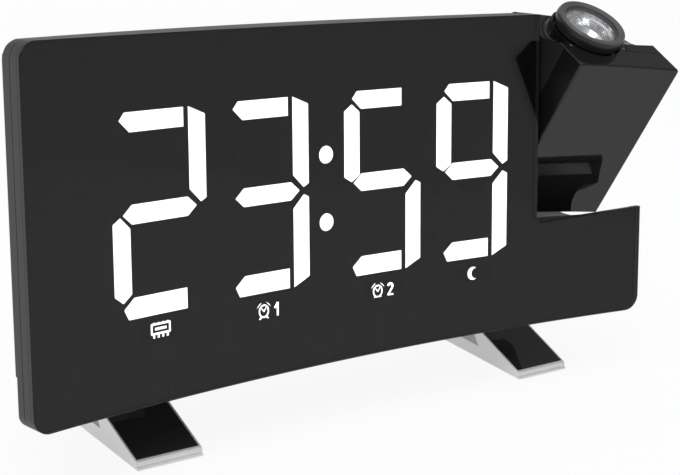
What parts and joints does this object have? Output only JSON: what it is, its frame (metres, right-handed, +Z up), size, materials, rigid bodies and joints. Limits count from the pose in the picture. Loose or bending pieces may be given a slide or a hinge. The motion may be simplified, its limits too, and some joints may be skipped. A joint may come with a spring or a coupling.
{
  "type": "projection alarm clock",
  "caption": "Wide projection alarm clock with a hollow-curved dark front, large seven-segment digits, a swivelling projector arm at one end and silver wedge feet.",
  "frame": {"origin": "middle of the clock's footprint on the table: centre of its bounding box in X and Y, underside of the feet in Z", "axes": "+X to the right along the display as seen from the front, +Y from the front to the back, +Z up"},
  "size_m": [0.19, 0.0554, 0.103],
  "materials": {
    "smoked_window": "smoked, high gloss",
    "case_black": "fine spark texture",
    "mask_black": "dead matt",
    "segment_white": "lit, diffusing",
    "segment_dark": "unlit, diffusing",
    "indicator_film": "printed film",
    "reflector_white": "satin white",
    "circuit_board": "green solder resist",
    "lamp_yellow": "phosphor yellow",
    "chip_black": "moulded epoxy",
    "spacer_brass": "turned brass",
    "trim_silver": "satin silver",
    "key_black": "satin",
    "plated_steel": "zinc plated",
    "speaker_paper": "pressed paper",
    "bush_grey": "acetal",
    "arm_gloss": "high gloss",
    "lens_glass": "clear",
    "slide_glass": "liquid-crystal cell",
    "ring_grey": "satin grey",
    "foot_silver": "satin silver lacquer",
    "inlay_black": "high gloss",
    "pad_rubber": "soft rubber"
  },
  "bodies": {
    "case": {"front_panel": "smoked_window", "front_frame": "case_black", "display_mask": "mask_black", "lit_segments": "segment_white", "unlit_segments": "segment_dark", "colon_dots": "segment_white", "indicator_guides": "indicator_film", "light_reflector": "reflector_white", "led_board": "circuit_board", "leds": "lamp_yellow", "main_board": "circuit_board", "main_board_chips": "chip_black", "board_spacers": "spacer_brass", "rear_cover": "case_black", "notch_trim": "trim_silver", "button_board": "circuit_board", "button_switches": "chip_black", "speaker_frame": "plated_steel", "speaker_cone": "speaker_paper", "coin_cell": "plated_steel", "battery_contacts": "plated_steel", "charging_socket": "plated_steel", "power_socket": "chip_black", "hinge_bush": "bush_grey", "case_screws": "plated_steel", "left_foot": "foot_silver", "right_foot": "foot_silver", "foot_inlays": "inlay_black", "foot_pads": "pad_rubber"},
    "projector_arm": {"arm_front_cover": "arm_gloss", "arm_rear_cover": "case_black", "lens_barrel": "mask_black", "lamp_board": "circuit_board", "projector_lamp": "lamp_yellow", "condenser_lens": "lens_glass", "image_slide": "slide_glass", "arm_screws": "plated_steel", "hinge_shaft": "plated_steel", "hinge_nut": "plated_steel", "hinge_washer": "plated_steel"},
    "focus_ring": {"focus_ring": "ring_grey", "projection_lens": "lens_glass"},
    "snooze_key": {"snooze_key": "key_black"},
    "set_key": {"set_key": "key_black"},
    "alarm_key": {"alarm_key": "key_black"},
    "mode_key": {"mode_key": "key_black"},
    "down_key": {"down_key": "key_black"},
    "up_key": {"up_key": "key_black"},
    "projector_key": {"projector_key": "key_black"},
    "battery_door": {"battery_door": "case_black"}
  },
  "joints": [
    {"name": "projector_swing", "type": "hinge", "parent": "case", "child": "projector_arm", "pos_m": [0.06, 0.00005, 0.07], "axis": [1, 0, 0], "range_deg": [-124.3, 55.7]},
    {"name": "focus_turn", "type": "hinge", "parent": "projector_arm", "child": "focus_ring", "pos_m": [0.0737, 0.00005, 0.07], "axis": [0, -0.4115, 0.9114], "range_deg": [-100, 100]},
    {"name": "battery_door_swing", "type": "hinge", "parent": "case", "child": "battery_door", "pos_m": [0.022, 0.01582, 0.04376], "axis": [-0.9977, 0.0671, -0.0118], "range_deg": [0, 80]},
    {"name": "snooze_key_press", "type": "slide", "parent": "case", "child": "snooze_key", "axis": [0, -0.1736, -0.9848], "range_m": [0, 0.0008], "stiffness_N_per_m": 400, "springref_m": -0.0005},
    {"name": "set_key_press", "type": "slide", "parent": "case", "child": "set_key", "axis": [0, -0.1736, -0.9848], "range_m": [0, 0.0008], "stiffness_N_per_m": 400, "springref_m": -0.0005},
    {"name": "alarm_key_press", "type": "slide", "parent": "case", "child": "alarm_key", "axis": [0, -0.1736, -0.9848], "range_m": [0, 0.0008], "stiffness_N_per_m": 400, "springref_m": -0.0005},
    {"name": "mode_key_press", "type": "slide", "parent": "case", "child": "mode_key", "axis": [0, -0.1736, -0.9848], "range_m": [0, 0.0008], "stiffness_N_per_m": 400, "springref_m": -0.0005},
    {"name": "down_key_press", "type": "slide", "parent": "case", "child": "down_key", "axis": [0, -0.1736, -0.9848], "range_m": [0, 0.0008], "stiffness_N_per_m": 400, "springref_m": -0.0005},
    {"name": "up_key_press", "type": "slide", "parent": "case", "child": "up_key", "axis": [0, -0.1736, -0.9848], "range_m": [0, 0.0008], "stiffness_N_per_m": 400, "springref_m": -0.0005},
    {"name": "projector_key_press", "type": "slide", "parent": "case", "child": "projector_key", "axis": [0, -0.1736, -0.9848], "range_m": [0, 0.0008], "stiffness_N_per_m": 400, "springref_m": -0.0005}
  ]
}
